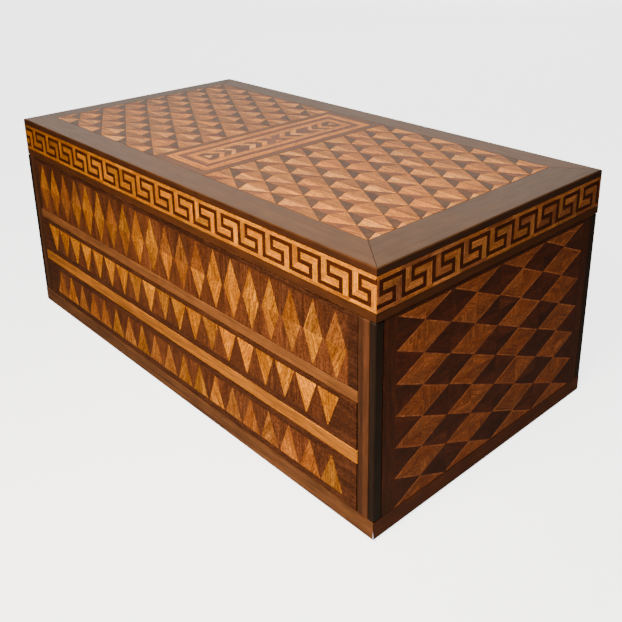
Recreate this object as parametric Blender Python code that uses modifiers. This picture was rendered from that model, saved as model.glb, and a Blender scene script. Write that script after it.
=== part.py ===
"""Marquetry puzzle box: hinged lid, two sliding drawers, and drop pins hidden in a till.

Sizes are in metres, +Z is up, the drawers open toward -Y, and the box rests on z = 0.
Pieces that meet keep a gap of GAP, and mitred pieces are cut back by MITRE_CUT.
"""

import math

import bmesh
import bpy
from mathutils import Matrix, Vector

GAP = 0.0003
MITRE_CUT = 0.0002
ARRIS = 0.0003

# Body outline
HALF_W = 0.1996
HALF_D = 0.1060
BASE_H = 0.0128
BASE_T = 0.0120
BASE_ROUND = 0.0025
BODY_TOP = 0.1364
SKIN = 0.0010

# Face frame at the corners
FRAME_T = 0.0062
EBONY_W = 0.0042
STILE_INNER = 0.1873
OPENING = 0.1870
END_INNER = 0.1883
RAIL_T = 0.0117

# Heights of the front, from the base up
MIDDLE_RAIL = (0.0451, 0.0535)
UPPER_RAIL = (0.0842, 0.0914)
DUST_BOARD = (0.0474, 0.0535)
FLOOR = (0.0855, 0.0905)

# Drawers
DRAWER_HALF_W = 0.1864
DRAWER_SIDE_OUT = 0.1859
DRAWER_SIDE_T = 0.0080
DRAWER_BACK_T = 0.0060
DRAWER_BOTTOM_T = 0.0035
LOWER_FRONT = (0.0133, 0.0446)
LOWER_BOX = (0.0131, 0.0426)
LOWER_BACK_Y = 0.0890
UPPER_FRONT = (0.0540, 0.0838)
UPPER_BOX = (0.0538, 0.0818)
UPPER_BACK_Y = 0.0720

# Till at the back of the main compartment, and its sliding cover
TILL_WALL = (0.0500, 0.0540)
TILL_TOP = 0.1176
COVER_Z = (0.1179, 0.1217)
GROOVE_DEPTH = 0.0025
GROOVE_FRONT = -0.0010
FINGER_NOTCH_R = 0.0090

# Drop pins
PIN_R = 0.0020
PIN_BORE_R = 0.0025
PIN_KNOB_R = 0.0055
PIN_KNOB_H = 0.0097
PIN_TRAVEL = 0.0120
SHORT_PIN_XY = (0.1200, 0.0625)
LONG_PIN_XY = (0.1500, 0.0795)
SHORT_PIN_TIP = 0.0849
LONG_PIN_TIP = 0.0460

# Lid
LID_X = (-0.1987, 0.2002)
LID_BOTTOM = 0.1372
FRIEZE_Z = (0.1423, 0.1627)
LID_RIM_T = 0.0108
LID_CORE_BOTTOM = 0.1565
TOP_SLAB = (0.1630, 0.1672)
TOP_FIELD_X = (-0.1820, 0.1736)
TOP_FIELD_Y = (-0.0848, 0.0859)
LEFT_PANEL_X1 = -0.0342
RIGHT_PANEL_X0 = 0.0256
CENTRE_X = (-0.0287, 0.0187)
CENTRE_Y = (-0.0782, 0.0792)
TOP_EASE = 0.0010

# Hinges
HINGE_X = (-0.1200, 0.1200)
HINGE_HALF_L = 0.0190
HINGE_Y = 0.1073
HINGE_Z = 0.1368
KNUCKLE_R = 0.0019
LEAF_T = 0.0012
LEAF_INSET = 0.0059
NOTCH_DEPTH = 0.0017


def clear_scene():
    for obj in list(bpy.data.objects):
        bpy.data.objects.remove(obj, do_unlink=True)


def new_collection(name):
    coll = bpy.data.collections.new(name)
    bpy.context.scene.collection.children.link(coll)
    return coll


def new_material(name, colour, roughness, metallic=0.0):
    mat = bpy.data.materials.new(name)
    mat.use_nodes = True
    shader = mat.node_tree.nodes["Principled BSDF"]
    shader.inputs["Base Color"].default_value = (*colour, 1.0)
    shader.inputs["Roughness"].default_value = roughness
    shader.inputs["Metallic"].default_value = metallic
    mat.diffuse_color = (*colour, 1.0)
    return mat


clear_scene()
PARTS = new_collection("puzzle_box")
CUTTERS = new_collection("cutters")

WALNUT = new_material("dark_walnut", (0.085, 0.050, 0.034), 0.30)
MAHOGANY = new_material("mahogany", (0.160, 0.060, 0.028), 0.32)
EBONY = new_material("ebony", (0.016, 0.014, 0.012), 0.28)
CEDAR = new_material("cedar", (0.420, 0.215, 0.100), 0.55)
MAPLE = new_material("golden_veneer", (0.520, 0.250, 0.085), 0.33)
ORANGE = new_material("orange_rail", (0.430, 0.170, 0.055), 0.32)
BRASS = new_material("brass", (0.680, 0.490, 0.190), 0.28, 1.0)


def axis_empty(name, position):
    """An empty on a joint's axis that carries one moving assembly."""
    empty = bpy.data.objects.new(name, None)
    PARTS.objects.link(empty)
    empty.empty_display_size = 0.02
    empty.location = position
    return empty


def place(name, mesh, centre, finish, parent=None):
    obj = bpy.data.objects.new(name, mesh)
    PARTS.objects.link(obj)
    mesh.materials.clear()
    mesh.materials.append(finish)
    obj.location = Vector(centre)
    if parent is not None:
        obj.parent = parent
        obj.location = Vector(centre) - parent.location
    return obj


def soften(obj, width=ARRIS, segments=1):
    """Eases every sharp edge of a piece."""
    bevel = obj.modifiers.new("arris", "BEVEL")
    bevel.width = width
    bevel.segments = segments
    bevel.limit_method = "ANGLE"
    bevel.angle_limit = math.radians(40.0)
    return obj


def board(name, xs, ys, zs, finish, parent=None, ease=ARRIS):
    """A rectangular board between two x, two y and two z planes."""
    low = Vector((xs[0], ys[0], zs[0]))
    high = Vector((xs[1], ys[1], zs[1]))
    size = high - low
    bm = bmesh.new()
    bmesh.ops.create_cube(bm, size=1.0)
    bmesh.ops.scale(bm, vec=size, verts=bm.verts)
    mesh = bpy.data.meshes.new(name)
    bm.to_mesh(mesh)
    bm.free()
    obj = place(name, mesh, (low + high) / 2.0, finish, parent)
    if ease > 0.0:
        soften(obj, ease)
    return obj


def extruded(name, outline, thickness, holes=()):
    """A flat outline, with round or polygonal holes, extruded evenly about its own plane."""
    curve = bpy.data.curves.new(name + "_outline", "CURVE")
    curve.dimensions = "2D"
    curve.fill_mode = "BOTH"
    curve.extrude = thickness / 2.0
    for points in (outline, *holes):
        spline = curve.splines.new("POLY")
        spline.points.add(len(points) - 1)
        for point, (u, v) in zip(spline.points, points):
            point.co = (u, v, 0.0, 1.0)
        spline.use_cyclic_u = True
    holder = bpy.data.objects.new(name + "_outline", curve)
    PARTS.objects.link(holder)
    bpy.context.view_layer.update()
    graph = bpy.context.evaluated_depsgraph_get()
    mesh = bpy.data.meshes.new_from_object(holder.evaluated_get(graph))
    mesh.transform(holder.matrix_world)
    bpy.data.objects.remove(holder, do_unlink=True)
    bm = bmesh.new()
    bm.from_mesh(mesh)
    bmesh.ops.remove_doubles(bm, verts=bm.verts, dist=0.000001)
    bmesh.ops.recalc_face_normals(bm, faces=bm.faces)
    bm.to_mesh(mesh)
    bm.free()
    mesh.name = name
    return mesh


def circle_points(centre, radius, count=32, start=0.0, sweep=math.tau):
    closed = abs(sweep - math.tau) < 0.001
    steps = count if closed else count - 1
    points = []
    for i in range(count):
        angle = start + sweep * i / steps
        points.append(
            (centre[0] + radius * math.cos(angle), centre[1] + radius * math.sin(angle))
        )
    return points


def plan_board(name, outline, zs, finish, parent=None, holes=()):
    """A board cut to an outline in the XY plane."""
    mesh = extruded(name, outline, zs[1] - zs[0], holes)
    centre = (0.0, 0.0, (zs[0] + zs[1]) / 2.0)
    if parent is None:
        return place(name, mesh, centre, finish)
    shift = Vector((parent.location.x, parent.location.y, 0.0))
    for vertex in mesh.vertices:
        vertex.co -= shift
    return place(name, mesh, Vector(centre) + shift, finish, parent)


def rectangle(xs, ys):
    return [(xs[0], ys[0]), (xs[1], ys[0]), (xs[1], ys[1]), (xs[0], ys[1])]


def rail(name, side, profile, outer, finish, parent=None, slopes=(1.0, 1.0)):
    """One mitred side of a frame.

    The profile is (depth in from the outer face, height). Outer is (x0, x1, y0, y1) of the
    frame. Slopes say how far each end runs back per unit of depth.
    """
    x0, x1, y0, y1 = outer
    low, high = (x0, x1) if side in ("front", "back") else (y0, y1)
    mesh = extruded(name, profile, 2.0)
    for vertex in mesh.vertices:
        depth, height, end = vertex.co
        if end < 0.0:
            along = low + MITRE_CUT + depth * slopes[0]
        else:
            along = high - MITRE_CUT - depth * slopes[1]
        if side == "front":
            vertex.co = (along, y0 + depth, height)
        elif side == "back":
            vertex.co = (along, y1 - depth, height)
        elif side == "left":
            vertex.co = (x0 + depth, along, height)
        else:
            vertex.co = (x1 - depth, along, height)
    centre = Vector(((x0 + x1) / 2.0, (y0 + y1) / 2.0, profile[0][1]))
    mesh.transform(Matrix.Translation(-centre))
    bm = bmesh.new()
    bm.from_mesh(mesh)
    bmesh.ops.recalc_face_normals(bm, faces=bm.faces)
    bm.to_mesh(mesh)
    bm.free()
    return place(name, mesh, centre, finish, parent)


def square_profile(depth0, depth1, zs):
    return [(depth0, zs[0]), (depth1, zs[0]), (depth1, zs[1]), (depth0, zs[1])]


def cut(target, cutter):
    boolean = target.modifiers.new("cut", "BOOLEAN")
    boolean.operation = "DIFFERENCE"
    boolean.solver = "EXACT"
    boolean.object = cutter


# Assemblies that move
LID = axis_empty("lid_hinge_axis", (0.0, HINGE_Y, HINGE_Z))
UPPER_DRAWER = axis_empty("upper_drawer_axis", (0.0, -HALF_D, 0.0689))
LOWER_DRAWER = axis_empty("lower_drawer_axis", (0.0, -HALF_D, 0.0290))
COVER = axis_empty("till_cover_axis", (0.0, 0.0, COVER_Z[0]))


def mirrored(xs, side):
    """The x span on the right of the box, or its mirror on the left."""
    return xs if side > 0 else (-xs[1], -xs[0])


def build_base():
    outer = (-HALF_W, HALF_W, -HALF_D, HALF_D)
    profile = [(0.0, BASE_H), (BASE_T, BASE_H), (BASE_T, 0.0)]
    profile += circle_points(
        (BASE_ROUND, BASE_ROUND), BASE_ROUND, 6, math.radians(270.0), math.radians(-90.0)
    )
    for side in ("front", "back", "left", "right"):
        rail("base_rail_" + side, side, profile, outer, WALNUT)
    half_x = HALF_W - BASE_T - GAP
    half_y = HALF_D - BASE_T - GAP
    board("bottom_board", (-half_x, half_x), (-half_y, half_y), (0.0065, BASE_H), CEDAR)


def build_recess_cutter():
    """One cutter for the till cover's grooves and the lid's two hinge recesses."""
    groove_x = 2.0 * (END_INNER + GROOVE_DEPTH)
    groove_z = (TILL_TOP, COVER_Z[1] + GAP)
    groove_size = (groove_x, HALF_D - GROOVE_FRONT, groove_z[1] - groove_z[0])
    groove_at = (0.0, (HALF_D + GROOVE_FRONT) / 2.0, sum(groove_z) / 2.0)
    blocks = [(groove_size, groove_at)]
    notch_size = (2.0 * HINGE_HALF_L + 0.0010, 0.0300, 2.0 * NOTCH_DEPTH)
    for x in HINGE_X:
        blocks.append((notch_size, (x, HALF_D, LID_BOTTOM)))
    bm = bmesh.new()
    for size, position in blocks:
        made = bmesh.ops.create_cube(bm, size=1.0)
        bmesh.ops.scale(bm, vec=size, verts=made["verts"])
        bmesh.ops.translate(bm, vec=position, verts=made["verts"])
    mesh = bpy.data.meshes.new("recess_cutter")
    bm.to_mesh(mesh)
    bm.free()
    cutter = bpy.data.objects.new("recess_cutter", mesh)
    CUTTERS.objects.link(cutter)
    cutter.hide_render = True
    cutter.display_type = "WIRE"
    return cutter


def build_ends():
    zs = (BASE_H + GAP, BODY_TOP)
    half_y = HALF_D - FRAME_T - GAP
    for side, label in ((-1, "left"), (1, "right")):
        core = mirrored((END_INNER, HALF_W - SKIN - GAP), side)
        cut(board(label + "_end_board", core, (-half_y, half_y), zs, CEDAR, ease=0.0), RECESS)
        skin = mirrored((HALF_W - SKIN, HALF_W), side)
        board(label + "_end_veneer", skin, (-half_y, half_y), zs, MAHOGANY, ease=0.0)


def build_face_frame():
    zs = (BASE_H + GAP, BODY_TOP)
    front = (-HALF_D, -HALF_D + FRAME_T)
    rear = (HALF_D - FRAME_T, HALF_D)
    for side, label in ((-1, "left"), (1, "right")):
        ebony = mirrored((HALF_W - EBONY_W, HALF_W), side)
        board("corner_strip_front_" + label, ebony, front, zs, EBONY, ease=0.0005)
        board("corner_strip_rear_" + label, ebony, rear, zs, EBONY, ease=0.0005)
        stile = mirrored((STILE_INNER, HALF_W - EBONY_W - GAP), side)
        board("front_stile_" + label, stile, front, zs, MAHOGANY)


def build_front():
    opening = (-OPENING, OPENING)
    rail_y = (-HALF_D, -HALF_D + RAIL_T)
    board("middle_rail", opening, rail_y, MIDDLE_RAIL, ORANGE)
    board("upper_rail", opening, rail_y, UPPER_RAIL, MAHOGANY)
    zs = (UPPER_RAIL[1] + GAP, BODY_TOP)
    core_y = (-HALF_D + SKIN + GAP, -HALF_D + RAIL_T)
    board("front_panel", opening, core_y, zs, CEDAR)
    board("front_panel_veneer", opening, (-HALF_D, -HALF_D + SKIN), zs, MAPLE, ease=0.0)


def hinge_notches(top, direction):
    """Corner points of the hinge recesses along an edge, in order of x."""
    points = []
    reach = HINGE_HALF_L + 0.0005
    for x in HINGE_X:
        points.append((x - reach, top))
        points.append((x - reach, top + direction * NOTCH_DEPTH))
        points.append((x + reach, top + direction * NOTCH_DEPTH))
        points.append((x + reach, top))
    return points


def build_back():
    half_x = HALF_W - EBONY_W - GAP
    bottom = BASE_H + GAP
    outline = [(-half_x, bottom), (half_x, bottom), (half_x, BODY_TOP)]
    outline += reversed(hinge_notches(BODY_TOP, -1.0))
    outline.append((-half_x, BODY_TOP))
    mesh = extruded("back_board", outline, FRAME_T)
    centre_z = (bottom + BODY_TOP) / 2.0
    for vertex in mesh.vertices:
        x, z, y = vertex.co
        vertex.co = (x, -y, z - centre_z)
    place("back_board", mesh, (0.0, HALF_D - FRAME_T / 2.0, centre_z), MAHOGANY)


def build_inside():
    half_x = END_INNER - GAP
    ys = (-HALF_D + RAIL_T + GAP, HALF_D - FRAME_T - GAP)
    outline = rectangle((-half_x, half_x), ys)
    short_bore = circle_points(SHORT_PIN_XY, PIN_BORE_R, 20)
    long_bore = circle_points(LONG_PIN_XY, PIN_BORE_R, 20)
    plan_board("compartment_floor", outline, FLOOR, CEDAR, holes=(short_bore, long_bore))
    plan_board("dust_board", outline, DUST_BOARD, CEDAR, holes=(long_bore,))
    wall_z = (FLOOR[1] + GAP, TILL_TOP)
    board("till_partition", (-half_x, half_x), TILL_WALL, wall_z, MAHOGANY)


def build_till_cover():
    reach = END_INNER + GROOVE_DEPTH - 0.0005
    front = TILL_WALL[0] - 0.0050
    rear = HALF_D - FRAME_T - 3.0 * GAP
    notch = circle_points((0.0, front), FINGER_NOTCH_R, 16, math.pi, -math.pi)
    outline = [(-reach, front)] + notch + [(reach, front), (reach, rear), (-reach, rear)]
    plan_board("till_cover", outline, COVER_Z, MAHOGANY, COVER)


def build_drawer(label, carrier, front_z, box_z, back_y):
    front_x = (-DRAWER_HALF_W, DRAWER_HALF_W)
    core_y = (-HALF_D + SKIN + GAP, -HALF_D + RAIL_T - GAP)
    board(label + "_drawer_front", front_x, core_y, front_z, CEDAR, carrier)
    skin_y = (-HALF_D, -HALF_D + SKIN)
    board(label + "_drawer_veneer", front_x, skin_y, front_z, MAPLE, carrier, ease=0.0)
    box_y0 = core_y[1] + GAP
    for side, word in ((-1, "left"), (1, "right")):
        xs = mirrored((DRAWER_SIDE_OUT - DRAWER_SIDE_T, DRAWER_SIDE_OUT), side)
        board(label + "_drawer_side_" + word, xs, (box_y0, back_y), box_z, CEDAR, carrier)
    inner = DRAWER_SIDE_OUT - DRAWER_SIDE_T - GAP
    back_ys = (back_y - DRAWER_BACK_T, back_y)
    board(label + "_drawer_back", (-inner, inner), back_ys, box_z, CEDAR, carrier)
    floor_z = (box_z[0] + 0.0005, box_z[0] + 0.0005 + DRAWER_BOTTOM_T)
    floor_y = (box_y0, back_ys[0] - GAP)
    board(label + "_drawer_bottom", (-inner, inner), floor_y, floor_z, CEDAR, carrier)


def build_pin(name, xy, tip):
    """A turned brass pin: a plain rod with a rounded tip under a domed knob."""
    flange = FLOOR[1] + PIN_TRAVEL + GAP
    top = flange + PIN_KNOB_H
    profile = [
        (0.0, tip),
        (PIN_R * 0.6, tip),
        (PIN_R, tip + 0.0008),
        (PIN_R, flange),
        (PIN_KNOB_R * 0.85, flange),
        (PIN_KNOB_R * 0.85, flange + 0.0012),
        (PIN_KNOB_R * 0.50, flange + 0.0024),
        (PIN_KNOB_R * 0.55, flange + 0.0036),
        (PIN_KNOB_R * 0.95, flange + 0.0050),
        (PIN_KNOB_R, flange + 0.0064),
        (PIN_KNOB_R * 0.90, flange + 0.0080),
        (PIN_KNOB_R * 0.55, top - 0.0004),
        (0.0, top),
    ]
    mesh = bpy.data.meshes.new(name)
    points = [(r, 0.0, z - flange) for r, z in profile]
    edges = [(i, i + 1) for i in range(len(points) - 1)]
    mesh.from_pydata(points, edges, [])
    obj = place(name, mesh, (xy[0], xy[1], flange), BRASS)
    turn = obj.modifiers.new("turning", "SCREW")
    turn.axis = "Z"
    turn.angle = math.tau
    turn.steps = 24
    turn.render_steps = 24
    turn.use_merge_vertices = True
    turn.merge_threshold = 0.00001
    turn.use_normal_calculate = True
    return obj


def build_lid_frame():
    outer = (LID_X[0], LID_X[1], -HALF_D, HALF_D)
    lip = FRIEZE_Z[0] - GAP
    top = FRIEZE_Z[1]
    rim = [
        (0.0, LID_BOTTOM),
        (LID_RIM_T, LID_BOTTOM),
        (LID_RIM_T, top),
        (SKIN + GAP, top),
        (SKIN + GAP, lip),
        (0.0, lip),
    ]
    skin = square_profile(0.0, SKIN, FRIEZE_Z)
    for side in ("front", "back", "left", "right"):
        rail("lid_rim_" + side, side, rim, outer, WALNUT, LID)
        rail("frieze_" + side, side, skin, outer, MAPLE, LID)
    cut(bpy.data.objects["lid_rim_back"], RECESS)
    inset = LID_RIM_T + GAP
    core_x = (LID_X[0] + inset, LID_X[1] - inset)
    core_y = (-HALF_D + inset, HALF_D - inset)
    board("lid_core", core_x, core_y, (LID_CORE_BOTTOM, FRIEZE_Z[1]), CEDAR, LID)


def eased_profile(width):
    """A border board with its outer top edge rounded over."""
    points = [(0.0, TOP_SLAB[0]), (width, TOP_SLAB[0]), (width, TOP_SLAB[1])]
    centre = (TOP_EASE, TOP_SLAB[1] - TOP_EASE)
    points += circle_points(centre, TOP_EASE, 5, math.radians(90.0), math.radians(90.0))
    return points


def build_lid_top():
    outer = (LID_X[0], LID_X[1], -HALF_D, HALF_D)
    left = TOP_FIELD_X[0] - LID_X[0]
    right = LID_X[1] - TOP_FIELD_X[1]
    front = TOP_FIELD_Y[0] + HALF_D
    back = HALF_D - TOP_FIELD_Y[1]
    frame = (
        ("front", front, (left / front, right / front)),
        ("back", back, (left / back, right / back)),
        ("left", left, (front / left, back / left)),
        ("right", right, (front / right, back / right)),
    )
    for side, width, slopes in frame:
        rail("top_border_" + side, side, eased_profile(width), outer, WALNUT, LID, slopes)
    field_y = (TOP_FIELD_Y[0] + GAP, TOP_FIELD_Y[1] - GAP)
    left_x = (TOP_FIELD_X[0] + GAP, LEFT_PANEL_X1)
    right_x = (RIGHT_PANEL_X0, TOP_FIELD_X[1] - GAP)
    board("top_panel_left", left_x, field_y, TOP_SLAB, MAPLE, LID, ease=0.0)
    board("top_panel_right", right_x, field_y, TOP_SLAB, MAPLE, LID, ease=0.0)
    board("top_panel_centre", CENTRE_X, CENTRE_Y, TOP_SLAB, MAPLE, LID, ease=0.0)
    ring_x = (LEFT_PANEL_X1 + GAP, RIGHT_PANEL_X0 - GAP)
    hole_x = (CENTRE_X[0] - GAP, CENTRE_X[1] + GAP)
    hole_y = (CENTRE_Y[0] - GAP, CENTRE_Y[1] + GAP)
    hole = rectangle(hole_x, hole_y)
    plan_board("centre_surround", rectangle(ring_x, field_y), TOP_SLAB, WALNUT, LID, (hole,))


def leaf_profile(direction):
    """A hinge leaf with its rolled knuckle, in the YZ plane around the hinge axis."""
    flush = HINGE_Z - 0.0006
    under = flush - LEAF_T
    low = -math.sqrt(KNUCKLE_R**2 - (HINGE_Z - under) ** 2)
    high = -math.sqrt(KNUCKLE_R**2 - (HINGE_Z - flush) ** 2)
    start = math.atan2(under - HINGE_Z, low)
    end = math.atan2(flush - HINGE_Z, high)
    sweep = (end - start) % math.tau
    start_y = HALF_D - LEAF_INSET
    points = [(start_y, under)]
    points += circle_points((HINGE_Y, HINGE_Z), KNUCKLE_R, 22, start, sweep)
    points.append((start_y, flush))
    return [(y - HINGE_Y, direction * (z - HINGE_Z)) for y, z in points]


def build_hinges():
    for x, word in zip(HINGE_X, ("left", "right")):
        for kind, direction, shift in (("body", 1.0, -1.0), ("lid", -1.0, 1.0)):
            name = "hinge_" + kind + "_leaf_" + word
            length = HINGE_HALF_L - GAP
            mesh = extruded(name, leaf_profile(direction), length)
            for vertex in mesh.vertices:
                y, z, along = vertex.co
                vertex.co = (along, y, z)
            bm = bmesh.new()
            bm.from_mesh(mesh)
            bmesh.ops.recalc_face_normals(bm, faces=bm.faces)
            bm.to_mesh(mesh)
            bm.free()
            centre_x = x + shift * HINGE_HALF_L / 2.0
            parent = LID if kind == "lid" else None
            place(name, mesh, (centre_x, HINGE_Y, HINGE_Z), BRASS, parent)


RECESS = build_recess_cutter()
build_base()
build_ends()
build_face_frame()
build_front()
build_back()
build_inside()
build_till_cover()
build_drawer("upper", UPPER_DRAWER, UPPER_FRONT, UPPER_BOX, UPPER_BACK_Y)
build_drawer("lower", LOWER_DRAWER, LOWER_FRONT, LOWER_BOX, LOWER_BACK_Y)
build_pin("short_pin", SHORT_PIN_XY, SHORT_PIN_TIP)
build_pin("long_pin", LONG_PIN_XY, LONG_PIN_TIP)
build_lid_frame()
build_lid_top()
build_hinges()
bpy.context.view_layer.update()
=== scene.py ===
"""Looks for the marquetry puzzle box: inlaid veneers, solid woods, studio and camera.

Sizes are in metres. Marquetry is laid out flat in millimetres, in the plane of each face.
"""

import math
import random

import bpy
from mathutils import Matrix, Vector


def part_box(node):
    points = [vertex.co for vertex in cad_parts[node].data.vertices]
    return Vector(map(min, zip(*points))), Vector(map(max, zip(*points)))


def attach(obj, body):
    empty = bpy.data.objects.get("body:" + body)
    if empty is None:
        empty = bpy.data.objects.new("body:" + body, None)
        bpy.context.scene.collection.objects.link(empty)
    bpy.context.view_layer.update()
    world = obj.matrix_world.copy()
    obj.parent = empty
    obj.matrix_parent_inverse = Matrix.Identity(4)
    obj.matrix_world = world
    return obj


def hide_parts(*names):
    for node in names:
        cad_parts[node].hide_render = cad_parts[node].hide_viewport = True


MM = 0.001
UPRIGHT = math.pi / 2

# Inlay tiles in millimetres: edge chamfer, depth of the sides, step from one level to the next
TILE_CHAMFER = 0.07
TILE_SKIRT = 0.16
LEVEL = 0.03
# The slab under the tiles in millimetres, and the smallest tile worth cutting in square millimetres
SLAB_THICKNESS = 0.85
SMALLEST_TILE = 0.6
# How far apart, in metres, tiles may take their grain from the endless plank
GRAIN_SPREAD = 3.0

# Fineness of each part of the figure, along the grain and twice across it
BAND_STRETCH = (14.0, 330.0, 330.0)
FIBRE_STRETCH = (60.0, 1300.0, 1300.0)
PORE_STRETCH = (320.0, 3600.0, 3600.0)
CLOUD_STRETCH = (70.0, 110.0, 110.0)
FLECK_STRETCH = (620.0, 1000.0, 1000.0)

WOOD_ROUGHNESS = 0.36
GRAIN_RELIEF = 0.0002

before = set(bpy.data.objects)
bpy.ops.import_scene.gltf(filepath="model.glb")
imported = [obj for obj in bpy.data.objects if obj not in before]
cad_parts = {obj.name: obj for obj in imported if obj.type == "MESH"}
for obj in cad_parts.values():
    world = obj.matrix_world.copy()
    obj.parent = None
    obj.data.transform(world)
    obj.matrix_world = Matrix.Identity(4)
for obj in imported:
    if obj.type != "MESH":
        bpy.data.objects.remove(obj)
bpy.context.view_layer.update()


def srgb(red, green, blue):
    """Linear colour from the usual 0 to 255 values."""
    linear = []
    for value in (red, green, blue):
        v = value / 255.0
        linear.append(v / 12.92 if v <= 0.04045 else ((v + 0.055) / 1.055) ** 2.4)
    return tuple(linear)


def mixed(a, b, t):
    """The colour a part t of the way from a to b."""
    return tuple(x * (1.0 - t) + y * t for x, y in zip(a, b))


# Veneer woods, as linear base colours
WALNUT = (0.120, 0.042, 0.008)
ROSEWOOD_DEEP = (0.064, 0.018, 0.006)
ROSEWOOD = (0.120, 0.032, 0.009)
MAHOGANY = (0.190, 0.051, 0.013)
TEAK = (0.310, 0.090, 0.014)
HONEY = (0.420, 0.132, 0.010)
AMBER = (0.580, 0.176, 0.006)
GOLD = (0.800, 0.240, 0.006)
PALE = (0.880, 0.330, 0.055)


# ---------------------------------------------------------------- shader helpers


class Graph:
    """A small helper for building one material's nodes."""

    def __init__(self, name):
        self.material = bpy.data.materials.new(name)
        self.material.use_nodes = True
        self.tree = self.material.node_tree
        self.shader = self.tree.nodes["Principled BSDF"]

    def node(self, kind, **settings):
        made = self.tree.nodes.new(kind)
        for key, value in settings.items():
            setattr(made, key, value)
        return made

    def link(self, out, into):
        self.tree.links.new(out, into)

    def math(self, operation, a, b=None, clamp=False):
        made = self.node("ShaderNodeMath", operation=operation, use_clamp=clamp)
        for socket, value in zip(made.inputs, (a, b)):
            if value is None:
                continue
            if isinstance(value, (int, float)):
                socket.default_value = value
            else:
                self.link(value, socket)
        return made.outputs[0]

    def noise(self, vector, scale, detail=3.0, roughness=0.55, distortion=0.0):
        made = self.node("ShaderNodeTexNoise")
        made.inputs["Scale"].default_value = scale
        made.inputs["Detail"].default_value = detail
        made.inputs["Roughness"].default_value = roughness
        made.inputs["Distortion"].default_value = distortion
        self.link(vector, made.inputs["Vector"])
        return made.outputs["Fac"]

    def stretched(self, vector, scale):
        made = self.node("ShaderNodeMapping")
        made.inputs["Scale"].default_value = scale
        self.link(vector, made.inputs["Vector"])
        return made.outputs["Vector"]

    def remap(self, value, low, high, to_low, to_high):
        made = self.node("ShaderNodeMapRange")
        made.interpolation_type = "SMOOTHSTEP"
        made.inputs["From Min"].default_value = low
        made.inputs["From Max"].default_value = high
        made.inputs["To Min"].default_value = to_low
        made.inputs["To Max"].default_value = to_high
        self.link(value, made.inputs["Value"])
        return made.outputs["Result"]

    def mix(self, factor, a, b, blend="MIX"):
        made = self.node("ShaderNodeMix", data_type="RGBA", blend_type=blend)
        for socket, value in ((made.inputs[0], factor), (made.inputs[6], a), (made.inputs[7], b)):
            if isinstance(value, (int, float)):
                socket.default_value = value
            elif isinstance(value, tuple):
                socket.default_value = (*value, 1.0)
            else:
                self.link(value, socket)
        return made.outputs[2]

    def bump(self, height, strength, distance):
        made = self.node("ShaderNodeBump")
        made.inputs["Strength"].default_value = strength
        made.inputs["Distance"].default_value = distance
        self.link(height, made.inputs["Height"])
        self.link(made.outputs["Normal"], self.shader.inputs["Normal"])

    def polish(self, roughness, coat, coat_roughness, specular=0.3):
        self.shader.inputs["Roughness"].default_value = roughness
        self.shader.inputs["Specular IOR Level"].default_value = specular
        self.shader.inputs["Coat Weight"].default_value = coat
        self.shader.inputs["Coat Roughness"].default_value = coat_roughness


def wood_figure(graph, vector):
    """Growth bands, fibres, pores and broad figure, from a vector whose X runs with the grain."""
    bands = graph.noise(graph.stretched(vector, BAND_STRETCH), 1.0, 3.0, 0.5, 0.9)
    fibres = graph.noise(graph.stretched(vector, FIBRE_STRETCH), 1.0, 4.0, 0.65)
    pores = graph.noise(graph.stretched(vector, PORE_STRETCH), 1.0, 2.0, 0.5)
    cloud = graph.noise(graph.stretched(vector, CLOUD_STRETCH), 1.0, 2.0, 0.5, 0.4)
    return bands, fibres, pores, cloud


def open_grain(graph, roughness, fibres, pore_shade):
    """Fibres vary the polish a little, and fibres and pores give the surface its relief."""
    rough = graph.remap(fibres, 0.3, 0.7, roughness - 0.05, roughness + 0.09)
    graph.link(rough, graph.shader.inputs["Roughness"])
    graph.bump(graph.math("ADD", fibres, pore_shade), 0.10, GRAIN_RELIEF)


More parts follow.
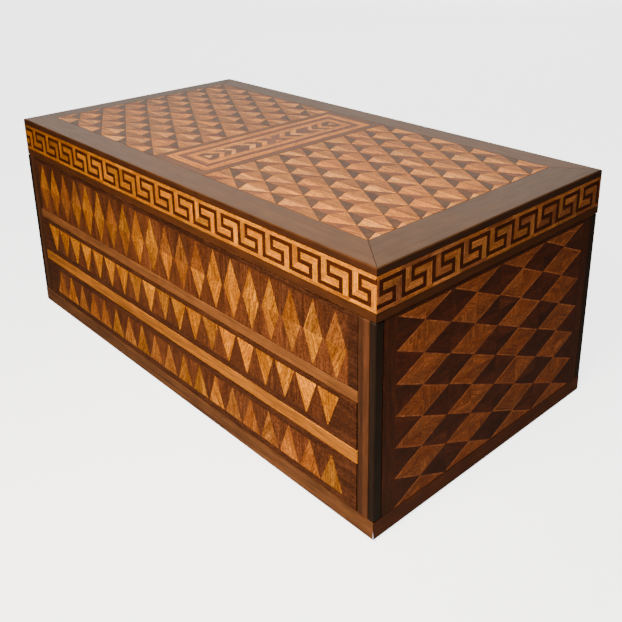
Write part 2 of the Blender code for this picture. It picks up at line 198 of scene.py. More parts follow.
def solid_wood(
    name, light, dark, along="X", contrast=1.0, roughness=WOOD_ROUGHNESS, coat=0.05,
    coat_rough=0.2, sides=None, outer=None,
):
    """A solid wood with its grain along one axis of the box.

    sides is painted shade, multiplied into upright faces darker and redder than the top, which
    takes the sheen. outer is a distance from the middle and a gain beyond it.
    """
    graph = Graph(name)
    place = graph.node("ShaderNodeTexCoord").outputs["Object"]
    turn = graph.node("ShaderNodeMapping")
    turn.vector_type = "POINT"
    angles = {"X": (0.0, 0.0, 0.0), "Y": (0.0, 0.0, -UPRIGHT), "Z": (0.0, UPRIGHT, 0.0)}
    turn.inputs["Rotation"].default_value = angles[along]
    graph.link(place, turn.inputs["Vector"])
    bands, fibres, pores, cloud = wood_figure(graph, turn.outputs["Vector"])
    band_part = graph.math("MULTIPLY", graph.remap(bands, 0.34, 0.66, 0.0, 1.0), 0.55)
    fibre_part = graph.math("MULTIPLY", graph.remap(fibres, 0.35, 0.65, 0.0, 1.0), 0.45)
    tone = graph.math("ADD", band_part, fibre_part, clamp=True)
    spread = graph.math("MULTIPLY", graph.math("SUBTRACT", tone, 0.5), contrast)
    factor = graph.math("ADD", spread, 0.5, clamp=True)
    colour = graph.mix(factor, dark, light)
    shade = graph.remap(cloud, 0.3, 0.7, 0.86, 1.1)
    pore_shade = graph.remap(pores, 0.30, 0.42, 0.72, 1.0)
    grey = graph.node("ShaderNodeCombineColor")
    total = graph.math("MULTIPLY", shade, pore_shade)
    for socket in grey.inputs[:3]:
        graph.link(total, socket)
    colour = graph.mix(1.0, colour, grey.outputs[0], "MULTIPLY")
    if outer:
        apart = graph.node("ShaderNodeSeparateXYZ")
        graph.link(place, apart.inputs[0])
        reach = graph.math("ABSOLUTE", apart.outputs[0])
        edge = graph.remap(reach, outer[0] - 0.0002, outer[0] + 0.0002, 0.0, 1.0)
        gain = (outer[1], outer[1], outer[1])
        colour = graph.mix(edge, colour, graph.mix(1.0, colour, gain, "MULTIPLY"))
    # Painted shade: upright faces are multiplied by the sides colour, darker and redder than the
    # top.
    if sides:
        facing = graph.node("ShaderNodeSeparateXYZ")
        graph.link(graph.node("ShaderNodeTexCoord").outputs["Normal"], facing.inputs[0])
        upright = graph.remap(facing.outputs[2], 0.3, 0.9, 1.0, 0.0)
        painted_side_shade = graph.mix(1.0, colour, sides, "MULTIPLY")
        colour = graph.mix(upright, colour, painted_side_shade)
    graph.link(colour, graph.shader.inputs["Base Color"])
    graph.polish(roughness, coat, coat_rough)
    open_grain(graph, roughness, fibres, pore_shade)
    return graph.material


def veneer_wood(name, coat, coat_rough, figure, fleck, specular):
    """Inlaid veneer: each tile carries its own tint and its own grain direction."""
    graph = Graph(name)
    grain = graph.node("ShaderNodeAttribute", attribute_name="grain")
    tint = graph.node("ShaderNodeAttribute", attribute_name="tint")
    bands, fibres, pores, cloud = wood_figure(graph, grain.outputs["Vector"])
    fleck_place = graph.stretched(grain.outputs["Vector"], FLECK_STRETCH)
    flecks = graph.noise(fleck_place, 1.0, 3.0, 0.6, 0.5)
    pore_shade = graph.remap(pores, 0.30, 0.42, 0.78, 1.0)
    total = pore_shade
    parts = (
        (bands, 0.30 * figure),
        (fibres, 0.22 * fleck),
        (cloud, 0.18 * figure),
        (flecks, 0.26 * fleck),
    )
    for noise, swing in parts:
        shade = graph.remap(noise, 0.32, 0.68, 1.0 - swing, 1.0 + swing * 0.9)
        total = graph.math("MULTIPLY", total, shade)
    grey = graph.node("ShaderNodeCombineColor")
    graph.link(total, grey.inputs[0])
    graph.link(graph.math("POWER", total, 1.12), grey.inputs[1])
    graph.link(graph.math("POWER", total, 1.25), grey.inputs[2])
    colour = graph.mix(1.0, tint.outputs["Color"], grey.outputs[0], "MULTIPLY")
    graph.link(colour, graph.shader.inputs["Base Color"])
    graph.polish(WOOD_ROUGHNESS, coat, coat_rough, specular)
    open_grain(graph, WOOD_ROUGHNESS, fibres, pore_shade)
    return graph.material


def brass_metal(name):
    graph = Graph(name)
    place = graph.node("ShaderNodeTexCoord").outputs["Object"]
    scratches = graph.noise(graph.stretched(place, (900.0, 900.0, 9000.0)), 1.0, 3.0)
    patina = graph.noise(graph.stretched(place, (160.0, 160.0, 160.0)), 1.0, 3.0)
    tone = graph.remap(patina, 0.35, 0.65, 0.0, 1.0)
    colour = graph.mix(tone, srgb(168, 122, 58), srgb(214, 172, 96))
    graph.link(colour, graph.shader.inputs["Base Color"])
    graph.shader.inputs["Metallic"].default_value = 1.0
    rough = graph.remap(scratches, 0.3, 0.7, 0.22, 0.42)
    graph.link(rough, graph.shader.inputs["Roughness"])
    graph.bump(scratches, 0.08, 0.0001)
    return graph.material


# ---------------------------------------------------------------- marquetry helpers


def clipped(points, low, high):
    """A convex outline cut down to the part inside a rectangle."""
    sides = ((0, low[0], 1.0), (0, high[0], -1.0), (1, low[1], 1.0), (1, high[1], -1.0))
    for axis, limit, sign in sides:
        kept = []
        for i, here in enumerate(points):
            before = points[i - 1]
            inside = (here[axis] - limit) * sign >= 0.0
            was_inside = (before[axis] - limit) * sign >= 0.0
            if inside != was_inside:
                t = (limit - before[axis]) / (here[axis] - before[axis])
                kept.append(
                    (before[0] + (here[0] - before[0]) * t, before[1] + (here[1] - before[1]) * t)
                )
            if inside:
                kept.append(here)
        points = kept
        if len(points) < 3:
            return []
    return points


def area(points):
    total = 0.0
    for i, (x1, y1) in enumerate(points):
        x0, y0 = points[i - 1]
        total += x0 * y1 - x1 * y0
    return total / 2.0


def inset(points, distance):
    """A convex outline, counter-clockwise, drawn in by a distance on every side."""
    moved = []
    count = len(points)
    for i in range(count):
        a = Vector(points[i - 1])
        b = Vector(points[i])
        c = Vector(points[(i + 1) % count])
        first = (b - a).normalized()
        second = (c - b).normalized()
        bisector = (Vector((-first.y, first.x)) + Vector((-second.y, second.x))).normalized()
        spread = max(0.35, bisector.dot(Vector((-first.y, first.x))))
        moved.append(tuple(b + bisector * min(distance / spread, distance * 2.5)))
    return moved


class Inlay:
    """A veneer sheet: a thin base slab carrying chamfered tiles, laid out in millimetres."""

    def __init__(self, name, origin, across, up, low, high, base_tint, seed, base_angle=0.0):
        self.name = name
        self.origin = Vector(origin)
        self.across = Vector(across)
        self.up = Vector(up)
        self.out = self.across.cross(self.up)
        self.low = low
        self.high = high
        self.vertices = []
        self.faces = []
        self.tints = []
        self.grains = []
        self.dice = random.Random(seed)
        corners = [(low[0], low[1]), (high[0], low[1]), (high[0], high[1]), (low[0], high[1])]
        self.slab(corners, -2.0 * LEVEL, SLAB_THICKNESS, base_tint, base_angle)

    def point(self, u, v, depth):
        place = self.origin + (self.across * u + self.up * v + self.out * depth) * MM
        self.vertices.append(place)
        return len(self.vertices) - 1

    def dress(self, points, tint, angle):
        """Gives the newest points their tint and their grain coordinates."""
        cosine = math.cos(angle)
        sine = math.sin(angle)
        shift = [self.dice.uniform(-GRAIN_SPREAD, GRAIN_SPREAD) for _ in range(3)]
        for u, v in points:
            along = (u * cosine + v * sine) * MM
            over = (v * cosine - u * sine) * MM
            self.grains.append((along + shift[0], over + shift[1], shift[2]))
            self.tints.append((*tint, 1.0))

    def slab(self, points, top, thickness, tint, angle):
        upper = [self.point(u, v, top) for u, v in points]
        lower = [self.point(u, v, top - thickness) for u, v in points]
        count = len(points)
        self.faces.append(upper)
        self.faces.append(lower[::-1])
        for i in range(count):
            j = (i + 1) % count
            self.faces.append([upper[i], lower[i], lower[j], upper[j]])
        self.dress(points + points, tint, angle)

    def tile(self, points, tint, angle=0.0, level=0, vary=0.10, gap=0.0):
        """One inlaid piece. Level lifts it a hair above the tiles it overlaps."""
        points = clipped(points, self.low, self.high)
        if len(points) < 3 or abs(area(points)) < SMALLEST_TILE:
            return
        if area(points) < 0.0:
            points = points[::-1]
        if gap:
            points = inset(points, gap)
        shade = 1.0 + self.dice.uniform(-vary, vary)
        warm = 1.0 + self.dice.uniform(-0.5, 0.5) * vary
        tint = (tint[0] * shade, tint[1] * shade / warm, tint[2] * shade / warm**2)
        top = -LEVEL + level * LEVEL
        inner = inset(points, TILE_CHAMFER)
        upper = [self.point(u, v, top) for u, v in inner]
        edge = [self.point(u, v, top - TILE_CHAMFER * 0.6) for u, v in points]
        lower = [self.point(u, v, top - TILE_SKIRT) for u, v in points]
        count = len(points)
        self.faces.append(upper)
        for i in range(count):
            j = (i + 1) % count
            self.faces.append([upper[i], edge[i], edge[j], upper[j]])
            self.faces.append([edge[i], lower[i], lower[j], edge[j]])
        self.dress(inner + points + points, tint, angle)

    def finish(self, body, slot, material, *nodes):
        mesh = bpy.data.meshes.new(self.name)
        mesh.from_pydata(self.vertices, [], self.faces)
        tint = mesh.attributes.new("tint", "FLOAT_COLOR", "POINT")
        tint.data.foreach_set("color", [c for t in self.tints for c in t])
        grain = mesh.attributes.new("grain", "FLOAT_VECTOR", "POINT")
        grain.data.foreach_set("vector", [c for g in self.grains for c in g])
        mesh.materials.append(material)
        mesh.validate()
        obj = bpy.data.objects.new(self.name, mesh)
        bpy.context.scene.collection.objects.link(obj)
        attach(obj, body)
        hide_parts(*nodes)


def span(node):
    """A node's lowest and highest corners in millimetres."""
    low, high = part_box(node)
    return Vector(low) / MM, Vector(high) / MM


def sheet(node, face, seed, tint, angle=0.0):
    """An empty inlay over one veneer node, in the plane of the named face of the box."""
    low, high = span(node)
    # For each face: a point in its plane, the directions across and up, and its two far corners
    planes = {
        "front": ((0, low.y, 0), (1, 0, 0), (0, 0, 1), (low.x, low.z), (high.x, high.z)),
        "back": ((0, high.y, 0), (-1, 0, 0), (0, 0, 1), (-high.x, low.z), (-low.x, high.z)),
        "right": ((high.x, 0, 0), (0, 1, 0), (0, 0, 1), (low.y, low.z), (high.y, high.z)),
        "left": ((low.x, 0, 0), (0, -1, 0), (0, 0, 1), (-high.y, low.z), (-low.y, high.z)),
        "top": ((0, 0, high.z), (1, 0, 0), (0, 1, 0), (low.x, low.y), (high.x, high.y)),
    }
    place, across, up, first, last = planes[face]
    origin = tuple(part * MM for part in place)
    return Inlay(node + "_inlay", origin, across, up, first, last, tint, seed, angle)


VENEER = veneer_wood(
    "marquetry_veneer", coat=0.03, coat_rough=0.2, figure=0.85, fleck=1.7, specular=0.2
)
VENEER_FRIEZE = veneer_wood(
    "marquetry_veneer_frieze", coat=0.02, coat_rough=0.2, figure=0.7, fleck=1.1, specular=0.16
)
VENEER_TOP = veneer_wood(
    "marquetry_veneer_top", coat=0.22, coat_rough=0.24, figure=0.9, fleck=1.3, specular=0.3
)
VENEER_END = veneer_wood(
    "marquetry_veneer_end", coat=0.06, coat_rough=0.2, figure=0.8, fleck=1.3, specular=0.3
)


# ---------------------------------------------------------------- front diamonds

DIAMOND_FIRST = -174.2
DIAMOND_PITCH = 18.17
DIAMOND_COUNT = 20
DIAMOND_Z = (91.9, 112.3, 133.4)
DIAMOND_HALF = (7.5, 8.3)
DIAMOND_LEAN = 0.35
DIAMOND_TONES = (HONEY, TEAK, mixed(HONEY, AMBER, 0.5), HONEY, mixed(TEAK, HONEY, 0.6), AMBER)
DRAWER_TRIANGLES = 19
DRAWER_TONES = {
    "upper": (AMBER, GOLD, GOLD, AMBER, mixed(AMBER, GOLD, 0.5), HONEY),
    "lower": ((0.50, 0.146, 0.018), (0.40, 0.116, 0.016), (0.60, 0.180, 0.014), HONEY),
}
# First triangle, pitch, height of the bases and of the tips, half of a base
UPPER_FACE = (-166.2, 18.37, 80.5, 58.8, 8.5)
LOWER_FACE = (-164.4, 18.39, 18.0, 40.1, 8.75)


def front_panel():
    """A row of tall diamonds, each of two triangles, on upright ground tiles."""
    inlay = sheet("front_panel_veneer", "front", 11, ROSEWOOD_DEEP)
    dice = random.Random(5)
    low_z, mid_z, high_z = DIAMOND_Z
    half = DIAMOND_PITCH / 2.0
    for k in range(DIAMOND_COUNT):
        x = DIAMOND_FIRST + DIAMOND_PITCH * k
        ground = mixed(ROSEWOOD_DEEP, ROSEWOOD, dice.uniform(0.5, 1.2))
        if dice.random() < 0.3:
            ground = mixed(MAHOGANY, TEAK, dice.uniform(0.0, 0.25))
        upper = [(x - half, mid_z), (x + half, mid_z), (x + half, high_z), (x - half, high_z)]
        inlay.tile(upper, ground, UPRIGHT, 1)
        lower_ground = mixed(ROSEWOOD, MAHOGANY, dice.uniform(0.2, 1.0))
        lower = [(x - half, low_z), (x + half, low_z), (x + half, mid_z), (x - half, mid_z)]
        inlay.tile(lower, lower_ground, UPRIGHT, 1)
        width = dice.uniform(*DIAMOND_HALF)
        lean = dice.uniform(-DIAMOND_LEAN, DIAMOND_LEAN)
        top = (x + lean, high_z - dice.uniform(0.0, 0.8))
        bottom = (x - lean, low_z + dice.uniform(0.0, 0.6))
        left = (x - width, mid_z)
        right = (x + width, mid_z)
        tone = dice.choice(DIAMOND_TONES)
        other = mixed(tone, dice.choice(DIAMOND_TONES), 0.7)
        inlay.tile([left, right, top], tone, UPRIGHT + dice.uniform(-0.5, 0.5), 2, 0.14)
        inlay.tile([left, bottom, right], other, UPRIGHT + dice.uniform(-0.5, 0.5), 2, 0.14)
    inlay.finish("carcass", "golden_veneer", VENEER, "front_panel_veneer")


def drawer_face(label, first, pitch, base_z, tip_z, half_base, seed):
    """A row of triangles with blunt tips, on ground tiles between their middles."""
    node = label + "_drawer_veneer"
    inlay = sheet(node, "front", seed, mixed(ROSEWOOD_DEEP, ROSEWOOD, 0.5))
    dice = random.Random(seed)
    low_z = min(base_z, tip_z)
    high_z = max(base_z, tip_z)
    for k in range(DRAWER_TRIANGLES - 1):
        x = first + pitch * (k + 0.5)
        ground = mixed(ROSEWOOD, MAHOGANY, dice.uniform(0.0, 0.8))
        block = [(x - pitch / 2, low_z), (x + pitch / 2, low_z)]
        block += [(x + pitch / 2, high_z), (x - pitch / 2, high_z)]
        inlay.tile(block, ground, UPRIGHT, 1)
    for k in range(DRAWER_TRIANGLES):
        x = first + pitch * k
        half = half_base * dice.uniform(0.94, 1.04)
        lean = dice.uniform(-0.5, 0.5)
        blunt = dice.uniform(0.05, 0.7)
        lift = dice.uniform(-0.4, 0.4)
        outline = [
            (x - half, base_z),
            (x + half, base_z),
            (x + lean + blunt, tip_z + lift),
            (x + lean - blunt, tip_z + lift),
        ]
        tone = dice.choice(DRAWER_TONES[label])
        inlay.tile(outline, tone, UPRIGHT + dice.uniform(-0.6, 0.6), 2, 0.14)
    inlay.finish(label + "_drawer", "golden_veneer", VENEER, node)


# ---------------------------------------------------------------- end diamonds

END_W = 45.1
END_H = 20.2
END_FIELD = (-90.0, 90.8, 13.4, 134.2)
# Share of each quarter left to the light line round its rhombus, and the grain directions
END_STRING = 0.10
END_EDGE_GRAIN = 0.42
END_GRAINS = (0.43, -0.43, 0.0, UPRIGHT)
END_FRAME = (0.078, 0.017, 0.004)
END_DARK = (0.110, 0.022, 0.006)
END_DARKER = (0.062, 0.013, 0.004)
END_LIGHT = (0.400, 0.105, 0.024)
END_BURL = (0.300, 0.072, 0.014)
END_EDGE = (0.440, 0.125, 0.034)


def end_face(side, seed):
    """Rows of light and dark rhombi in quarters, the light ones edged with a paler line."""
    node = side + "_end_veneer"
    inlay = sheet(node, side, seed, END_FRAME, UPRIGHT)
    dice = random.Random(seed)
    low, high = inlay.low, inlay.high
    inlay.low = (END_FIELD[0], END_FIELD[2])
    inlay.high = (END_FIELD[1], END_FIELD[3])
    centre = (END_FIELD[0] + END_FIELD[1]) / 2.0
    for row in range(-1, 14):
        for column in range(-3, 4):
            light = row % 2 == 0
            u = centre + END_W * (column + (0.5 if light else 0.0))
            v = END_FIELD[2] + END_H / 2.0 * row
            corners = [
                (u - END_W / 2, v), (u, v - END_H / 2), (u + END_W / 2, v), (u, v + END_H / 2),
            ]
            whole = mixed(END_BURL, END_LIGHT, dice.uniform(0.0, 1.0))
            if light:
                inlay.tile(corners, END_EDGE, END_EDGE_GRAIN, 1, 0.12)
            for i in range(4):
                quarter = [corners[i], corners[(i + 1) % 4], (u, v)]
                angle = dice.choice(END_GRAINS)
                if light:
                    tint = mixed(whole, END_BURL, dice.uniform(0.0, 0.6))
                    middle = Vector((u, v))
                    quarter = [tuple(Vector(q).lerp(middle, END_STRING)) for q in quarter]
                    inlay.tile(quarter, tint, angle, 2, 0.16)
                else:
                    tint = mixed(END_DARKER, END_DARK, dice.uniform(0.0, 1.0))
                    inlay.tile(quarter, tint, angle, 1, 0.16)
    inlay.low, inlay.high = low, high
    inlay.finish("carcass", "mahogany", VENEER_END, node)


# ---------------------------------------------------------------- key-pattern frieze

KEY_ROWS = 9.0
KEY_COLUMNS = 10.0
# The light bars of one key, as columns and rows of its grid, and the grain direction of each
LIGHT_BARS = (
    ((1.15, 1), (2.9, 1), (2.9, 5.1), (1.15, 6.9)),
    ((2.9, 5.1), (6.9, 5.1), (6.9, 6.9), (1.15, 6.9)),
    ((4.1, 2.15), (9.9, 2.15), (8.15, 3.9), (4.1, 3.9)),
    ((9.9, 2.15), (9.9, 8), (8.15, 8), (8.15, 3.9)),
    ((0, 0), (10, 0), (9.2, 1), (-0.8, 1)),
    ((0.8, 8), (10.8, 8), (10, 9), (0, 9)),
)
BAR_GRAINS = (UPRIGHT, 0.0, 0.0, UPRIGHT, 0.0, 0.0)
FRIEZE_DARK = (0.060, 0.013, 0.003)
LIGHT_TONES = (AMBER, mixed(AMBER, GOLD, 0.7), mixed(HONEY, AMBER, 0.4), mixed(AMBER, GOLD, 0.4))
# Painted shade: the end friezes' light bars, a darker and duller copy of the tones above, for end
# faces that lie in shade
END_FRIEZE_PAINTED_SHADE_TONES = (
    (0.36, 0.115, 0.034),
    (0.50, 0.160, 0.040),
    (0.27, 0.085, 0.030),
    (0.42, 0.140, 0.032),
)
# First key, width of a column and number of keys, on the long and on the short sides
LONG_KEYS = (-184.9, 2.291, 17)
SHORT_KEYS = (-86.3, 2.36, 9)
LAST_KEY = 0.6


def frieze(side, first, cell, periods, seed, tones, last=None, painted_light_ramp=0.0):
    """Keys in a row. last narrows the final one. The final argument is painted light: it tips the
    tone lighter or darker along the row, as light falls off across the face.
    """
    node = "frieze_" + side
    inlay = sheet(node, side, seed, FRIEZE_DARK)
    dice = random.Random(seed)
    low, high = inlay.low, inlay.high
    row = (high[1] - low[1]) / KEY_ROWS
    for k in range(-1, periods):
        start = first + KEY_COLUMNS * cell * k - cell / 2.0
        ending = last is not None and k == periods - 1
        # Painted light: each key's tone is scaled lighter or darker along the row.
        gain = 1.0 + painted_light_ramp * (k / periods - 0.5)
        for bar, angle in zip(LIGHT_BARS, BAR_GRAINS):
            outline = []
            for c, r in bar:
                if ending:
                    c = min(c, 4.0) + max(0.0, min(c, 7.0) - 4.0) * last + max(0.0, c - 7.0)
                outline.append((start + c * cell, high[1] - r * row))
            tint = tuple(min(0.9, part * gain) for part in dice.choice(tones))
            inlay.tile(outline, tint, angle, 1, 0.14)
    inlay.finish("lid", "golden_veneer", VENEER_FRIEZE, node)


# ---------------------------------------------------------------- lid top panels

CELL_W = 37.0
CELL_H = 21.3
CELL_APEX = 0.375
TOP_GAP = 0.13
TOP_GREY = (0.078, 0.030, 0.009)


def top_panel(side, seed):
    """A lattice of rhombi, each cut at its apex into a grey, a brown and two light tiles."""
    node = "top_panel_" + side
    inlay = sheet(node, "top", seed, ROSEWOOD_DEEP)
    dice = random.Random(seed)
    low, high = inlay.low, inlay.high
    turned = side == "left"
    middle = ((low[0] + high[0]) / 2.0, (low[1] + high[1]) / 2.0)
    for half_row in range(0, 17):
        for column in range(-1, 5):
            odd = half_row % 2
            u = middle[0] - 2.0 * CELL_W + CELL_W * (column + (0.0 if odd else 0.5))
            v = middle[1] + 4.0 * CELL_H - CELL_H / 2.0 * half_row
            west = (u - CELL_W / 2, v)
            east = (u + CELL_W / 2, v)
            north = (u, v + CELL_H / 2)
            south = (u, v - CELL_H / 2)
            if turned:
                west, east, north, south = east, west, south, north
            apex = (west[0] + (east[0] - west[0]) * CELL_APEX, v)
            grey = mixed(TOP_GREY, WALNUT, dice.uniform(0.0, 0.8))
            brown = mixed(MAHOGANY, TEAK, dice.uniform(0.0, 1.0))
            upper = mixed(HONEY, AMBER, dice.uniform(0.0, 0.7))
            lower = mixed(GOLD, PALE, dice.uniform(0.0, 0.9))
            inlay.tile([west, apex, south], grey, 0.9, 1, 0.14, TOP_GAP)
            inlay.tile([west, north, apex], brown, 0.5, 1, 0.14, TOP_GAP)
            inlay.tile([apex, north, east], upper, 0.1, 1, 0.12, TOP_GAP)
            inlay.tile([apex, east, south], lower, -0.1, 1, 0.12, TOP_GAP)
    inlay.finish("lid", "golden_veneer", VENEER_TOP, node)


CENTRE_RINGS = (5.6, 4.8, 5.4)
CHEVRON_DROP = 6.5
# Distances from the panel's middle to each pale chevron's near and far points, with its tone
CHEVRONS = ((49.3, 44.9, GOLD), (38.5, 34.7, PALE), (22.4, 16.8, PALE), (11.1, 6.0, GOLD))
CHEVRON_GROUNDS = ((44.9, 38.5, (0.20, 0.066, 0.014)), (34.7, 22.4, (0.17, 0.050, 0.018)))
CENTRE_DARK = (0.125, 0.042, 0.013)
CENTRE_MAUVE = (0.230, 0.072, 0.032)


def centre_panel():
    """Three mitred rings round a dark field of chevrons that point at its middle."""
    inlay = sheet("top_panel_centre", "top", 41, ROSEWOOD_DEEP)
    low, high = inlay.low, inlay.high
    brown = mixed(MAHOGANY, TEAK, 0.15)

    def ring(x0, x1, y0, y1, w, tint):
        """One mitred frame, four strips."""
        outer = [(x0, y0), (x1, y0), (x1, y1), (x0, y1)]
        inner = [(x0 + w, y0 + w), (x1 - w, y0 + w), (x1 - w, y1 - w), (x0 + w, y1 - w)]
        for i in range(4):
            j = (i + 1) % 4
            angle = 0.0 if i % 2 == 0 else UPRIGHT
            strip = [outer[i], outer[j], inner[j], inner[i]]
            inlay.tile(strip, tint, angle, 1, 0.08)

    x0, x1, y0, y1 = low[0], high[0], low[1], high[1]
    for width, tint in zip(CENTRE_RINGS, (GOLD, brown, GOLD)):
        ring(x0, x1, y0, y1, width, tint)
        x0, x1, y0, y1 = x0 + width, x1 - width, y0 + width, y1 - width
    inlay.tile([(x0, y0), (x1, y0), (x1, y1), (x0, y1)], CENTRE_DARK, UPRIGHT, 1, 0.03)
    middle_x = (x0 + x1) / 2.0
    middle_y = (y0 + y1) / 2.0
    half = (x1 - x0) / 2.0

    def chevron(sign, far, near, tint, level):
        """Both arms of one chevron pointing at the panel's middle."""
        for flip in (-1.0, 1.0):
            edge = middle_x + flip * half
            outline = [
                (edge, middle_y + sign * (far + CHEVRON_DROP)),
                (edge, middle_y + sign * (near + CHEVRON_DROP)),
                (middle_x, middle_y + sign * near),
                (middle_x, middle_y + sign * far),
            ]
            inlay.tile(outline, tint, UPRIGHT - 0.6 * flip, level)

    for sign, end in ((-1.0, y0), (1.0, y1)):
        small = [
            (middle_x - half * 0.5, end - sign * 2.4),
            (middle_x + half * 0.5, end - sign * 2.4),
            (middle_x, end - sign * 7.6),
        ]
        inlay.tile(small, PALE, 0.0, 2)
        for far, near, tint in CHEVRON_GROUNDS + CHEVRONS:
            chevron(sign, far, near, tint, 2)
        chevron(sign, 6.0, 0.0, CENTRE_MAUVE, 2)
    for flip in (-1.0, 1.0):
        edge = middle_x + flip * half
        wedge = [
            (edge, middle_y - CHEVRON_DROP),
            (edge, middle_y + CHEVRON_DROP),
            (middle_x, middle_y),
        ]
        inlay.tile(wedge, CENTRE_MAUVE, 0.0, 2)
        sliver = [
            (edge - flip * 0.5, middle_y - 3.2),
            (edge - flip * 0.5, middle_y + 3.2),
            (middle_x + flip * half * 0.2, middle_y),
        ]
        inlay.tile(sliver, GOLD, UPRIGHT, 3)
    inlay.finish("lid", "golden_veneer", VENEER_TOP, "top_panel_centre")


front_panel()
drawer_face("upper", *UPPER_FACE, 21)
drawer_face("lower", *LOWER_FACE, 22)
end_face("right", 31)
end_face("left", 32)
# Painted light on the front frieze, lighter towards its right end, and painted shade on the right
# one, darker towards the back.
frieze("front", *LONG_KEYS, 51, LIGHT_TONES, last=LAST_KEY, painted_light_ramp=0.6)
frieze("right", *SHORT_KEYS, 52, END_FRIEZE_PAINTED_SHADE_TONES, painted_light_ramp=-0.4)
frieze("left", *SHORT_KEYS, 53, END_FRIEZE_PAINTED_SHADE_TONES)
frieze("back", *LONG_KEYS, 54, LIGHT_TONES, last=LAST_KEY)
top_panel("right", 61)
top_panel("left", 62)
centre_panel()


# ---------------------------------------------------------------- solid pieces


def dress(material, *names):
    """Gives CAD pieces that are shown as they are their material."""
    for name in names:
        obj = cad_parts[name]
        obj.data.materials.clear()
        obj.data.materials.append(material)


# Each wood's light and dark tone, as linear base colours
BORDER_TONES = (0.140, 0.054, 0.013), (0.084, 0.031, 0.007)
BORDER_END_TONES = (0.105, 0.046, 0.015), (0.062, 0.026, 0.008)
# Painted shade for the border's upright faces, multiplied in darker and redder than its top
BORDER_SIDE_PAINTED_SHADE = (0.60, 0.42, 0.38)
SURROUND_TONES = (0.190, 0.060, 0.013), (0.120, 0.037, 0.008)
RIM_TONES = (0.118, 0.033, 0.007), (0.066, 0.018, 0.004)
BASE_TONES = (0.250, 0.088, 0.026), (0.095, 0.032, 0.011)
BASE_END_TONES = (0.150, 0.035, 0.009), (0.085, 0.020, 0.005)
STILE_TONES = (0.090, 0.028, 0.009), (0.044, 0.014, 0.005)
STILE_OUTER = (0.1912, 1.8)
EBONY_TONES = (0.026, 0.012, 0.006), (0.012, 0.005, 0.002)
ORANGE_TONES = (0.680, 0.212, 0.018), (0.330, 0.104, 0.014)
BROWN_TONES = (0.360, 0.120, 0.028), (0.190, 0.064, 0.017)
BACK_TONES = (0.230, 0.070, 0.013), (0.120, 0.036, 0.007)
CEDAR_TONES = srgb(206, 152, 102), srgb(176, 118, 74)
INNER_TONES = (0.300, 0.090, 0.024), (0.170, 0.050, 0.012)

# Roughness, coat and coat roughness of the polished lid, the dark strips and the bare insides
BORDER_POLISH = (WOOD_ROUGHNESS, 0.4, 0.24)
SURROUND_POLISH = (WOOD_ROUGHNESS, 0.25, 0.24)
EBONY_POLISH = (0.34, 0.08)
INNER_POLISH = (0.42, 0.05)
PLANED = (0.55, 0.0)

BORDER_X = solid_wood("walnut_border_x", *BORDER_TONES, "X", 0.9, *BORDER_POLISH, BORDER_SIDE_PAINTED_SHADE)
BORDER_Y = solid_wood(
    "walnut_border_y", *BORDER_END_TONES, "Y", 0.9, *BORDER_POLISH, BORDER_SIDE_PAINTED_SHADE
)
SURROUND = solid_wood("brown_surround", *SURROUND_TONES, "Y", 0.9, *SURROUND_POLISH)
RIM_X = solid_wood("rosewood_rim_x", *RIM_TONES, "X", 0.9)
RIM_Y = solid_wood("rosewood_rim_y", *RIM_TONES, "Y", 0.9)
BASE_X = solid_wood("walnut_base_x", *BASE_TONES, "X", 1.2)
BASE_Y = solid_wood("walnut_base_y", *BASE_END_TONES, "Y", 0.9)
STILE = solid_wood("rosewood_stile", *STILE_TONES, "Z", 1.0, outer=STILE_OUTER)
EBONY_Z = solid_wood("ebony_strip", *EBONY_TONES, "Z", 0.8, *EBONY_POLISH)
ORANGE = solid_wood("orange_rail_wood", *ORANGE_TONES, "X", 1.3)
BROWN = solid_wood("brown_rail_wood", *BROWN_TONES, "X", 1.0)
BACK = solid_wood("back_wood", *BACK_TONES, "X", 1.0)
CEDAR_X = solid_wood("cedar_x", *CEDAR_TONES, "X", 0.9, *PLANED)
CEDAR_Y = solid_wood("cedar_y", *CEDAR_TONES, "Y", 0.9, *PLANED)
INNER = solid_wood("mahogany_inner", *INNER_TONES, "X", 1.0, *INNER_POLISH)
BRASS = brass_metal("turned_brass")

dress(BORDER_X, "top_border_front", "top_border_back")
dress(BORDER_Y, "top_border_left", "top_border_right")
dress(SURROUND, "centre_surround")
dress(RIM_X, "lid_rim_front", "lid_rim_back")
dress(RIM_Y, "lid_rim_left", "lid_rim_right")
dress(BASE_X, "base_rail_front", "base_rail_back")
dress(BASE_Y, "base_rail_left", "base_rail_right")
dress(STILE, "front_stile_left", "front_stile_right")
dress(EBONY_Z, "corner_strip_front_left", "corner_strip_front_right")
dress(EBONY_Z, "corner_strip_rear_left", "corner_strip_rear_right")
dress(ORANGE, "middle_rail")
dress(BROWN, "upper_rail")
dress(BACK, "back_board")
dress(INNER, "till_partition", "till_cover")
dress(CEDAR_X, "bottom_board", "compartment_floor", "dust_board", "lid_core", "front_panel")
dress(CEDAR_Y, "left_end_board", "right_end_board")
for drawer in ("upper", "lower"):
    dress(CEDAR_X, drawer + "_drawer_front", drawer + "_drawer_back", drawer + "_drawer_bottom")
    dress(CEDAR_Y, drawer + "_drawer_side_left", drawer + "_drawer_side_right")
dress(BRASS, "short_pin", "long_pin")
for word in ("left", "right"):
    dress(BRASS, "hinge_body_leaf_" + word, "hinge_lid_leaf_" + word)


# ---------------------------------------------------------------- studio

FLOOR_HALF = 6.0
FLOOR_PALE = ((0.92, 0.92, 0.92), (0.94, 0.94, 0.94))
FLOOR_BOUNCE = (0.12, 0.11, 0.10)
FLOOR_GLOW = 3.2
SKY_COLOUR = (1.0, 0.96, 0.90, 1.0)
SKY_SHOWN = 4.0
SKY_LIGHT = 0.11
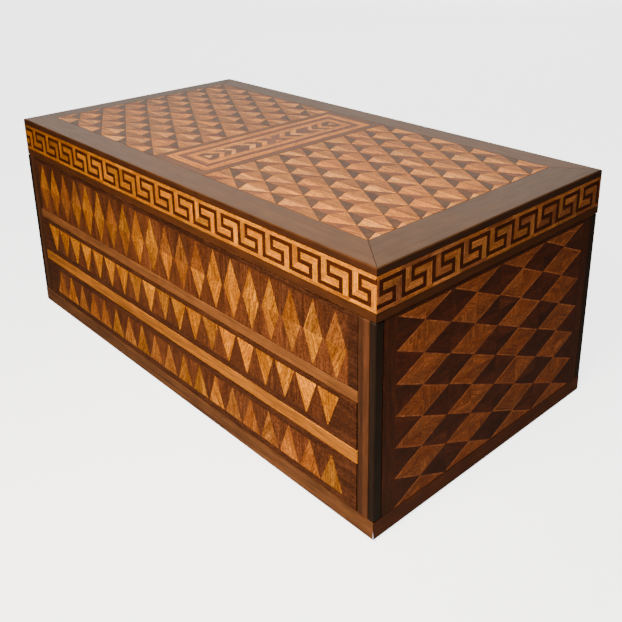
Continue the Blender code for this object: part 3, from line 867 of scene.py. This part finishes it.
# Each light's name, place, target, size, power in watts and colour
LIGHTS = (
    ("key", (0.25, -0.50, 0.57), (0.15, -0.10, 0.10), (0.32, 0.28), 5.0, (1.0, 0.92, 0.78)),
    ("side_fill", (1.10, -0.30, 0.42), (0.20, 0.0, 0.08), (0.5, 0.4), 1.0, (1.0, 0.88, 0.74)),
    ("back_fill", (-1.7, 2.3, 0.10), (0.0, 0.0, 0.08), (1.6, 0.12), 17.0, (1.0, 0.94, 0.86)),
    ("top_sheen", (-1.10, 1.00, 0.78), (0.0, 0.0, 0.16), (1.7, 0.9), 4.4, (1.0, 0.86, 0.76)),
)
KEY_SPREAD = math.radians(125.0)


def floor():
    """A pale studio floor, which reflects less onto the box than it shows to the camera."""
    mesh = bpy.data.meshes.new("studio_floor")
    signs = ((-1, -1), (1, -1), (1, 1), (-1, 1))
    corners = [(x * FLOOR_HALF, y * FLOOR_HALF, 0.0) for x, y in signs]
    mesh.from_pydata(corners, [], [(0, 1, 2, 3)])
    obj = bpy.data.objects.new("studio_floor", mesh)
    bpy.context.scene.collection.objects.link(obj)
    graph = Graph("studio_floor")
    speckle = graph.noise(graph.node("ShaderNodeTexCoord").outputs["Object"], 40.0, 2.0)
    tone = graph.remap(speckle, 0.3, 0.7, 0.0, 1.0)
    pale = graph.mix(tone, *FLOOR_PALE)
    direct = graph.node("ShaderNodeLightPath").outputs["Is Camera Ray"]
    graph.link(graph.mix(direct, FLOOR_BOUNCE, pale), graph.shader.inputs["Base Color"])
    graph.shader.inputs["Roughness"].default_value = 0.8
    graph.shader.inputs["Emission Color"].default_value = (1.0, 1.0, 1.0, 1.0)
    glow = graph.math("MULTIPLY", direct, FLOOR_GLOW)
    graph.link(glow, graph.shader.inputs["Emission Strength"])
    mesh.materials.append(graph.material)


def area_light(name, position, target, size, power, colour):
    data = bpy.data.lights.new(name, "AREA")
    data.shape = "RECTANGLE"
    data.size, data.size_y = size
    data.energy = power
    data.color = colour
    obj = bpy.data.objects.new(name, data)
    bpy.context.scene.collection.objects.link(obj)
    obj.location = position
    aim = Vector(target) - Vector(position)
    obj.rotation_euler = aim.to_track_quat("-Z", "Y").to_euler()


def sky():
    """A pale sky to look at, and a dim soft light from all round."""
    world = bpy.data.worlds.new("studio_sky")
    bpy.context.scene.world = world
    world.use_nodes = True
    tree = world.node_tree
    background = tree.nodes["Background"]
    background.inputs["Color"].default_value = SKY_COLOUR
    path = tree.nodes.new("ShaderNodeLightPath")
    strength = tree.nodes.new("ShaderNodeMapRange")
    strength.inputs["To Min"].default_value = SKY_LIGHT
    strength.inputs["To Max"].default_value = SKY_SHOWN
    tree.links.new(path.outputs["Is Camera Ray"], strength.inputs["Value"])
    tree.links.new(strength.outputs["Result"], background.inputs["Strength"])


def studio():
    sky()
    floor()
    for light in LIGHTS:
        area_light(*light)
    bpy.data.lights["key"].spread = KEY_SPREAD


# Focal length and frame side in the same units, place, then azimuth, elevation and roll in degrees
CAMERA_FOCAL = 815.9
FRAME_SIDE = 622.0
CAMERA_AT = (0.44407, -0.36850, 0.33816)
CAMERA_TURN = (47.913, 19.773, -0.964)
CAMERA_SHIFT = -0.2


def camera():
    data = bpy.data.cameras.new("camera")
    data.sensor_width = 36.0
    data.lens = CAMERA_FOCAL / FRAME_SIDE * data.sensor_width
    data.shift_y = CAMERA_SHIFT
    data.clip_start = 0.01
    data.clip_end = 60.0
    obj = bpy.data.objects.new("camera", data)
    bpy.context.scene.collection.objects.link(obj)
    azimuth, elevation, roll = (math.radians(angle) for angle in CAMERA_TURN)
    back = Vector(
        (
            math.sin(azimuth) * math.cos(elevation),
            -math.cos(azimuth) * math.cos(elevation),
            math.sin(elevation),
        )
    )
    right = Vector((0.0, 0.0, 1.0)).cross(back).normalized()
    up = back.cross(right)
    turned_right = right * math.cos(roll) + up * math.sin(roll)
    turned_up = up * math.cos(roll) - right * math.sin(roll)
    basis = Matrix((turned_right, turned_up, back)).transposed()
    obj.matrix_world = Matrix.Translation(CAMERA_AT) @ basis.to_4x4()
    bpy.context.scene.camera = obj


studio()
camera()
